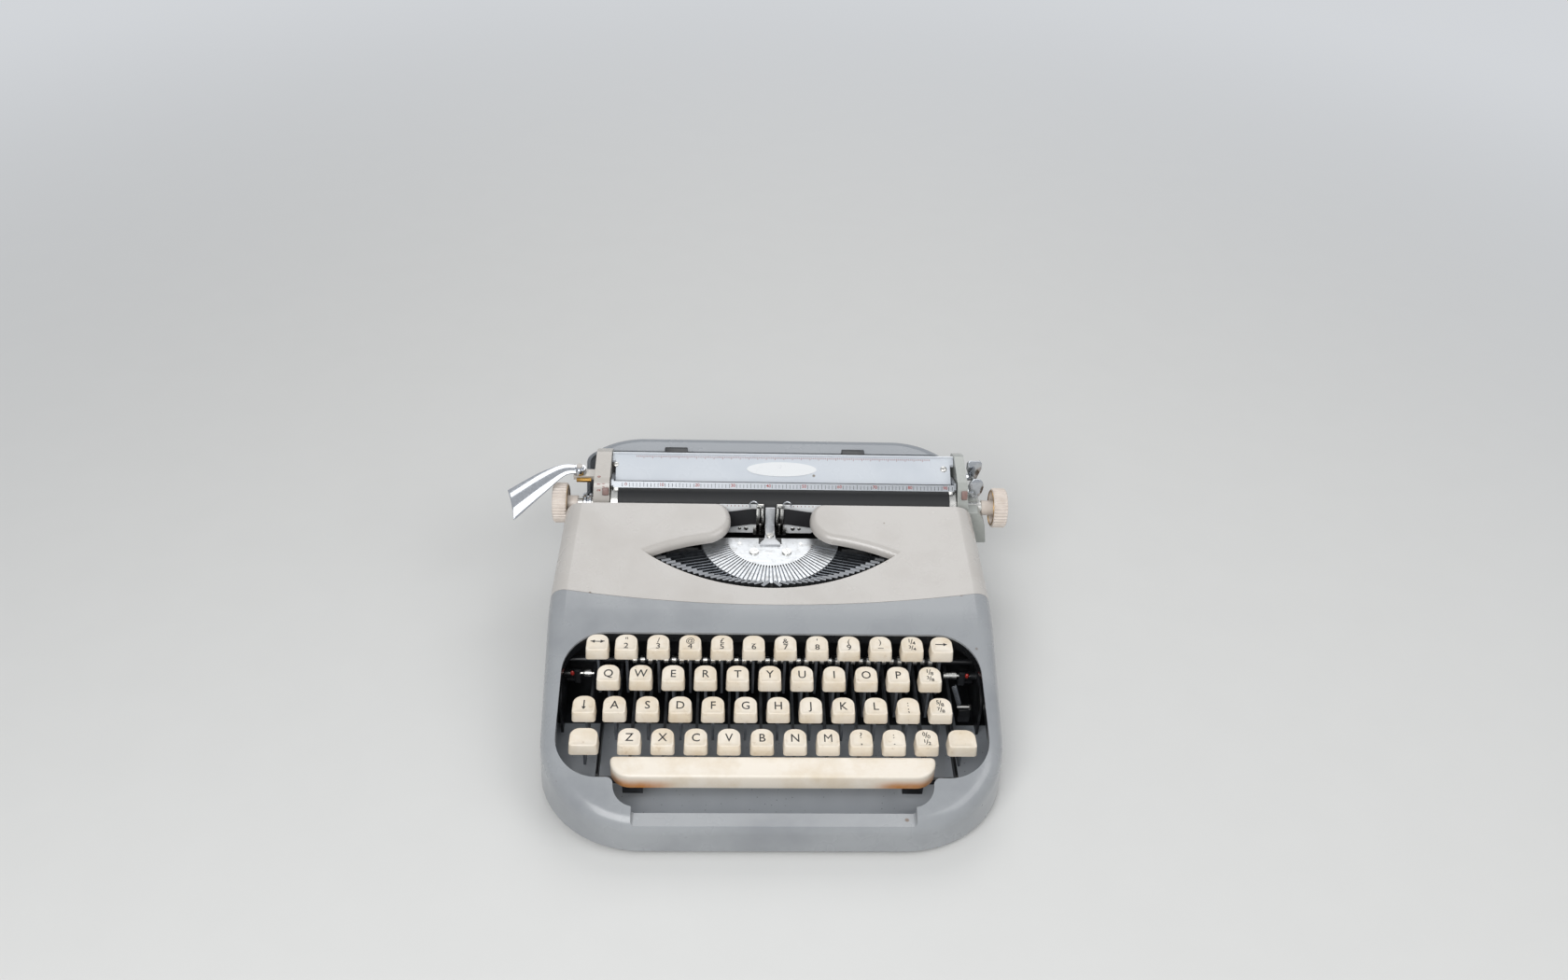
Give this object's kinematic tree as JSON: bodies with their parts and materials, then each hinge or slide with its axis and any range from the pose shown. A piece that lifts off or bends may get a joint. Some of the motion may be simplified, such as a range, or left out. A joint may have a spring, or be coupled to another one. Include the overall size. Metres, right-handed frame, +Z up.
{
  "type": "typewriter",
  "caption": "Portable manual typewriter: low enamelled housing with sprung keys on pivoting levers, type basket, shifting sliding carriage, platen with knobs, return lever and paper bail.",
  "frame": {"origin": "on the table plane, under the middle of the whole width at rest (return lever tip to right knob) and of the depth", "axes": "+X to the typist's right, +Y away from the typist, +Z up"},
  "size_m": [0.3306, 0.305, 0.0876],
  "materials": {
    "housing_enamel": "semi-gloss blue-grey enamel",
    "cover_enamel": "semi-gloss warm light grey enamel",
    "blackened_steel": "black japanned sheet steel",
    "bright_steel": "bright milled steel",
    "chrome_plate": "polished chrome plate",
    "ribbon_black": "inked ribbon on black spools",
    "carriage_enamel": "light grey enamel",
    "table_enamel": "pale silver-blue enamel",
    "platen_rubber": "fine-ground black rubber",
    "scale_metal": "satin aluminium with fine ticks",
    "key_ivory": "cream moulded plastic, satin from wear"
  },
  "bodies": {
    "root": {"lower_housing": "housing_enamel", "top_cover": "cover_enamel", "chassis": "blackened_steel", "typebar_segment": "bright_steel", "typebars": "blackened_steel", "ribbon_works": "ribbon_black"},
    "carriage": {"carriage_truck": "bright_steel"},
    "carriage_frame": {"carriage_frame": "carriage_enamel", "paper_table": "table_enamel"},
    "platen": {"platen": "platen_rubber"},
    "paper_bail": {"paper_bail": "scale_metal"},
    "return_lever": {"return_lever": "chrome_plate"},
    "paper_release": {"paper_release_lever": "chrome_plate"},
    "carriage_release": {"carriage_release_lever": "chrome_plate"},
    "shift": {"shift_keys": "key_ivory"},
    "space_bar": {"space_bar": "key_ivory"},
    "backspace": {"backspace_key": "key_ivory"},
    "margin_release": {"margin_release_key": "key_ivory"},
    "key_2": {"key_2": "key_ivory"},
    "key_3": {"key_3": "key_ivory"},
    "key_4": {"key_4": "key_ivory"},
    "key_5": {"key_5": "key_ivory"},
    "key_6": {"key_6": "key_ivory"},
    "key_7": {"key_7": "key_ivory"},
    "key_8": {"key_8": "key_ivory"},
    "key_9": {"key_9": "key_ivory"},
    "key_dash": {"key_dash": "key_ivory"},
    "key_quarters": {"key_quarters": "key_ivory"},
    "key_q": {"key_q": "key_ivory"},
    "key_w": {"key_w": "key_ivory"},
    "key_e": {"key_e": "key_ivory"},
    "key_r": {"key_r": "key_ivory"},
    "key_t": {"key_t": "key_ivory"},
    "key_y": {"key_y": "key_ivory"},
    "key_u": {"key_u": "key_ivory"},
    "key_i": {"key_i": "key_ivory"},
    "key_o": {"key_o": "key_ivory"},
    "key_p": {"key_p": "key_ivory"},
    "key_eighths_low": {"key_eighths_low": "key_ivory"},
    "key_a": {"key_a": "key_ivory"},
    "key_s": {"key_s": "key_ivory"},
    "key_d": {"key_d": "key_ivory"},
    "key_f": {"key_f": "key_ivory"},
    "key_g": {"key_g": "key_ivory"},
    "key_h": {"key_h": "key_ivory"},
    "key_j": {"key_j": "key_ivory"},
    "key_k": {"key_k": "key_ivory"},
    "key_l": {"key_l": "key_ivory"},
    "key_semicolon": {"key_semicolon": "key_ivory"},
    "key_eighths_high": {"key_eighths_high": "key_ivory"},
    "key_z": {"key_z": "key_ivory"},
    "key_x": {"key_x": "key_ivory"},
    "key_c": {"key_c": "key_ivory"},
    "key_v": {"key_v": "key_ivory"},
    "key_b": {"key_b": "key_ivory"},
    "key_n": {"key_n": "key_ivory"},
    "key_m": {"key_m": "key_ivory"},
    "key_comma": {"key_comma": "key_ivory"},
    "key_period": {"key_period": "key_ivory"},
    "key_percent": {"key_percent": "key_ivory"}
  },
  "joints": [
    {"name": "carriage_slide", "type": "slide", "parent": "root", "child": "carriage", "axis": [1, 0, 0], "range_m": [-0.114, 0.095]},
    {"name": "case_shift", "type": "hinge", "parent": "root", "child": "shift", "pos_m": [0, 0.06, 0.022], "axis": [1, 0, 0], "range_deg": [0, 2.16], "stiffness_Nm_per_rad": 1.5, "springref_deg": -3.44},
    {"name": "carriage_lift", "type": "slide", "parent": "carriage", "child": "carriage_frame", "axis": [0, 0, 1], "range_m": [0, 0.0055]},
    {"name": "cylinder_turn", "type": "hinge", "parent": "carriage_frame", "child": "platen", "pos_m": [0.0153, 0.0872, 0.0623], "axis": [1, 0, 0], "continuous": true},
    {"name": "bail_hinge", "type": "hinge", "parent": "carriage_frame", "child": "paper_bail", "pos_m": [0.0153, 0.1035, 0.0725], "axis": [-1, 0, 0], "range_deg": [0, 40]},
    {"name": "carriage_return_hinge", "type": "hinge", "parent": "carriage_frame", "child": "return_lever", "pos_m": [-0.121, 0.097, 0.0806], "axis": [0, 0, 1], "range_deg": [0, 28], "stiffness_Nm_per_rad": 0.05, "springref_deg": -8.59},
    {"name": "feed_release_hinge", "type": "hinge", "parent": "carriage_frame", "child": "paper_release", "pos_m": [0.1394, 0.109, 0.0715], "axis": [1, 0, 0], "range_deg": [0, 18], "stiffness_Nm_per_rad": 0.03, "springref_deg": -11.46},
    {"name": "carriage_release_hinge", "type": "hinge", "parent": "carriage_frame", "child": "carriage_release", "pos_m": [0.1394, 0.0975, 0.0705], "axis": [1, 0, 0], "range_deg": [0, 18], "stiffness_Nm_per_rad": 0.03, "springref_deg": -11.46},
    {"name": "bar_press", "type": "hinge", "parent": "root", "child": "space_bar", "pos_m": [0, 0.06, 0.022], "axis": [1, 0, 0], "range_deg": [0, 2.61], "stiffness_Nm_per_rad": 1.5, "springref_deg": -3.44},
    {"name": "backspace_press", "type": "hinge", "parent": "root", "child": "backspace", "pos_m": [0, 0.06, 0.022], "axis": [1, 0, 0], "range_deg": [0, 5.64], "stiffness_Nm_per_rad": 0.3, "springref_deg": -2.86},
    {"name": "border_release_press", "type": "hinge", "parent": "root", "child": "margin_release", "pos_m": [0, 0.06, 0.022], "axis": [1, 0, 0], "range_deg": [0, 5.64], "stiffness_Nm_per_rad": 0.3, "springref_deg": -2.86},
    {"name": "key_2_press", "type": "hinge", "parent": "root", "child": "key_2", "pos_m": [0, 0.06, 0.022], "axis": [1, 0, 0], "range_deg": [0, 6.2], "stiffness_Nm_per_rad": 0.3, "springref_deg": -2.86},
    {"name": "key_3_press", "type": "hinge", "parent": "root", "child": "key_3", "pos_m": [0, 0.06, 0.022], "axis": [1, 0, 0], "range_deg": [0, 6.2], "stiffness_Nm_per_rad": 0.3, "springref_deg": -2.86},
    {"name": "key_4_press", "type": "hinge", "parent": "root", "child": "key_4", "pos_m": [0, 0.06, 0.022], "axis": [1, 0, 0], "range_deg": [0, 6.2], "stiffness_Nm_per_rad": 0.3, "springref_deg": -2.86},
    {"name": "key_5_press", "type": "hinge", "parent": "root", "child": "key_5", "pos_m": [0, 0.06, 0.022], "axis": [1, 0, 0], "range_deg": [0, 6.2], "stiffness_Nm_per_rad": 0.3, "springref_deg": -2.86},
    {"name": "key_6_press", "type": "hinge", "parent": "root", "child": "key_6", "pos_m": [0, 0.06, 0.022], "axis": [1, 0, 0], "range_deg": [0, 6.2], "stiffness_Nm_per_rad": 0.3, "springref_deg": -2.86},
    {"name": "key_7_press", "type": "hinge", "parent": "root", "child": "key_7", "pos_m": [0, 0.06, 0.022], "axis": [1, 0, 0], "range_deg": [0, 6.2], "stiffness_Nm_per_rad": 0.3, "springref_deg": -2.86},
    {"name": "key_8_press", "type": "hinge", "parent": "root", "child": "key_8", "pos_m": [0, 0.06, 0.022], "axis": [1, 0, 0], "range_deg": [0, 6.2], "stiffness_Nm_per_rad": 0.3, "springref_deg": -2.86},
    {"name": "key_9_press", "type": "hinge", "parent": "root", "child": "key_9", "pos_m": [0, 0.06, 0.022], "axis": [1, 0, 0], "range_deg": [0, 6.2], "stiffness_Nm_per_rad": 0.3, "springref_deg": -2.86},
    {"name": "key_dash_press", "type": "hinge", "parent": "root", "child": "key_dash", "pos_m": [0, 0.06, 0.022], "axis": [1, 0, 0], "range_deg": [0, 6.2], "stiffness_Nm_per_rad": 0.3, "springref_deg": -2.86},
    {"name": "key_quarters_press", "type": "hinge", "parent": "root", "child": "key_quarters", "pos_m": [0, 0.06, 0.022], "axis": [1, 0, 0], "range_deg": [0, 6.2], "stiffness_Nm_per_rad": 0.3, "springref_deg": -2.86},
    {"name": "key_q_press", "type": "hinge", "parent": "root", "child": "key_q", "pos_m": [0, 0.06, 0.022], "axis": [1, 0, 0], "range_deg": [0, 5.22], "stiffness_Nm_per_rad": 0.3, "springref_deg": -2.86},
    {"name": "key_w_press", "type": "hinge", "parent": "root", "child": "key_w", "pos_m": [0, 0.06, 0.022], "axis": [1, 0, 0], "range_deg": [0, 5.22], "stiffness_Nm_per_rad": 0.3, "springref_deg": -2.86},
    {"name": "key_e_press", "type": "hinge", "parent": "root", "child": "key_e", "pos_m": [0, 0.06, 0.022], "axis": [1, 0, 0], "range_deg": [0, 5.22], "stiffness_Nm_per_rad": 0.3, "springref_deg": -2.86},
    {"name": "key_r_press", "type": "hinge", "parent": "root", "child": "key_r", "pos_m": [0, 0.06, 0.022], "axis": [1, 0, 0], "range_deg": [0, 5.22], "stiffness_Nm_per_rad": 0.3, "springref_deg": -2.86},
    {"name": "key_t_press", "type": "hinge", "parent": "root", "child": "key_t", "pos_m": [0, 0.06, 0.022], "axis": [1, 0, 0], "range_deg": [0, 5.22], "stiffness_Nm_per_rad": 0.3, "springref_deg": -2.86},
    {"name": "key_y_press", "type": "hinge", "parent": "root", "child": "key_y", "pos_m": [0, 0.06, 0.022], "axis": [1, 0, 0], "range_deg": [0, 5.22], "stiffness_Nm_per_rad": 0.3, "springref_deg": -2.86},
    {"name": "key_u_press", "type": "hinge", "parent": "root", "child": "key_u", "pos_m": [0, 0.06, 0.022], "axis": [1, 0, 0], "range_deg": [0, 5.22], "stiffness_Nm_per_rad": 0.3, "springref_deg": -2.86},
    {"name": "key_i_press", "type": "hinge", "parent": "root", "child": "key_i", "pos_m": [0, 0.06, 0.022], "axis": [1, 0, 0], "range_deg": [0, 5.22], "stiffness_Nm_per_rad": 0.3, "springref_deg": -2.86},
    {"name": "key_o_press", "type": "hinge", "parent": "root", "child": "key_o", "pos_m": [0, 0.06, 0.022], "axis": [1, 0, 0], "range_deg": [0, 5.22], "stiffness_Nm_per_rad": 0.3, "springref_deg": -2.86},
    {"name": "key_p_press", "type": "hinge", "parent": "root", "child": "key_p", "pos_m": [0, 0.06, 0.022], "axis": [1, 0, 0], "range_deg": [0, 5.22], "stiffness_Nm_per_rad": 0.3, "springref_deg": -2.86},
    {"name": "key_eighths_low_press", "type": "hinge", "parent": "root", "child": "key_eighths_low", "pos_m": [0, 0.06, 0.022], "axis": [1, 0, 0], "range_deg": [0, 5.22], "stiffness_Nm_per_rad": 0.3, "springref_deg": -2.86},
    {"name": "key_a_press", "type": "hinge", "parent": "root", "child": "key_a", "pos_m": [0, 0.06, 0.022], "axis": [1, 0, 0], "range_deg": [0, 4.51], "stiffness_Nm_per_rad": 0.3, "springref_deg": -2.86},
    {"name": "key_s_press", "type": "hinge", "parent": "root", "child": "key_s", "pos_m": [0, 0.06, 0.022], "axis": [1, 0, 0], "range_deg": [0, 4.51], "stiffness_Nm_per_rad": 0.3, "springref_deg": -2.86},
    {"name": "key_d_press", "type": "hinge", "parent": "root", "child": "key_d", "pos_m": [0, 0.06, 0.022], "axis": [1, 0, 0], "range_deg": [0, 4.51], "stiffness_Nm_per_rad": 0.3, "springref_deg": -2.86},
    {"name": "key_f_press", "type": "hinge", "parent": "root", "child": "key_f", "pos_m": [0, 0.06, 0.022], "axis": [1, 0, 0], "range_deg": [0, 4.51], "stiffness_Nm_per_rad": 0.3, "springref_deg": -2.86},
    {"name": "key_g_press", "type": "hinge", "parent": "root", "child": "key_g", "pos_m": [0, 0.06, 0.022], "axis": [1, 0, 0], "range_deg": [0, 4.51], "stiffness_Nm_per_rad": 0.3, "springref_deg": -2.86},
    {"name": "key_h_press", "type": "hinge", "parent": "root", "child": "key_h", "pos_m": [0, 0.06, 0.022], "axis": [1, 0, 0], "range_deg": [0, 4.51], "stiffness_Nm_per_rad": 0.3, "springref_deg": -2.86},
    {"name": "key_j_press", "type": "hinge", "parent": "root", "child": "key_j", "pos_m": [0, 0.06, 0.022], "axis": [1, 0, 0], "range_deg": [0, 4.51], "stiffness_Nm_per_rad": 0.3, "springref_deg": -2.86},
    {"name": "key_k_press", "type": "hinge", "parent": "root", "child": "key_k", "pos_m": [0, 0.06, 0.022], "axis": [1, 0, 0], "range_deg": [0, 4.51], "stiffness_Nm_per_rad": 0.3, "springref_deg": -2.86},
    {"name": "key_l_press", "type": "hinge", "parent": "root", "child": "key_l", "pos_m": [0, 0.06, 0.022], "axis": [1, 0, 0], "range_deg": [0, 4.51], "stiffness_Nm_per_rad": 0.3, "springref_deg": -2.86},
    {"name": "key_semicolon_press", "type": "hinge", "parent": "root", "child": "key_semicolon", "pos_m": [0, 0.06, 0.022], "axis": [1, 0, 0], "range_deg": [0, 4.51], "stiffness_Nm_per_rad": 0.3, "springref_deg": -2.86},
    {"name": "key_eighths_high_press", "type": "hinge", "parent": "root", "child": "key_eighths_high", "pos_m": [0, 0.06, 0.022], "axis": [1, 0, 0], "range_deg": [0, 4.51], "stiffness_Nm_per_rad": 0.3, "springref_deg": -2.86},
    {"name": "key_z_press", "type": "hinge", "parent": "root", "child": "key_z", "pos_m": [0, 0.06, 0.022], "axis": [1, 0, 0], "range_deg": [0, 3.97], "stiffness_Nm_per_rad": 0.3, "springref_deg": -2.86},
    {"name": "key_x_press", "type": "hinge", "parent": "root", "child": "key_x", "pos_m": [0, 0.06, 0.022], "axis": [1, 0, 0], "range_deg": [0, 3.97], "stiffness_Nm_per_rad": 0.3, "springref_deg": -2.86},
    {"name": "key_c_press", "type": "hinge", "parent": "root", "child": "key_c", "pos_m": [0, 0.06, 0.022], "axis": [1, 0, 0], "range_deg": [0, 3.97], "stiffness_Nm_per_rad": 0.3, "springref_deg": -2.86},
    {"name": "key_v_press", "type": "hinge", "parent": "root", "child": "key_v", "pos_m": [0, 0.06, 0.022], "axis": [1, 0, 0], "range_deg": [0, 3.97], "stiffness_Nm_per_rad": 0.3, "springref_deg": -2.86},
    {"name": "key_b_press", "type": "hinge", "parent": "root", "child": "key_b", "pos_m": [0, 0.06, 0.022], "axis": [1, 0, 0], "range_deg": [0, 3.97], "stiffness_Nm_per_rad": 0.3, "springref_deg": -2.86},
    {"name": "key_n_press", "type": "hinge", "parent": "root", "child": "key_n", "pos_m": [0, 0.06, 0.022], "axis": [1, 0, 0], "range_deg": [0, 3.97], "stiffness_Nm_per_rad": 0.3, "springref_deg": -2.86},
    {"name": "key_m_press", "type": "hinge", "parent": "root", "child": "key_m", "pos_m": [0, 0.06, 0.022], "axis": [1, 0, 0], "range_deg": [0, 3.97], "stiffness_Nm_per_rad": 0.3, "springref_deg": -2.86},
    {"name": "key_comma_press", "type": "hinge", "parent": "root", "child": "key_comma", "pos_m": [0, 0.06, 0.022], "axis": [1, 0, 0], "range_deg": [0, 3.97], "stiffness_Nm_per_rad": 0.3, "springref_deg": -2.86},
    {"name": "key_period_press", "type": "hinge", "parent": "root", "child": "key_period", "pos_m": [0, 0.06, 0.022], "axis": [1, 0, 0], "range_deg": [0, 3.97], "stiffness_Nm_per_rad": 0.3, "springref_deg": -2.86},
    {"name": "key_percent_press", "type": "hinge", "parent": "root", "child": "key_percent", "pos_m": [0, 0.06, 0.022], "axis": [1, 0, 0], "range_deg": [0, 3.97], "stiffness_Nm_per_rad": 0.3, "springref_deg": -2.86}
  ],
  "couplings": [
    {"joint": "case_shift", "follows": "carriage_lift", "rad_per_m": 6.854}
  ]
}
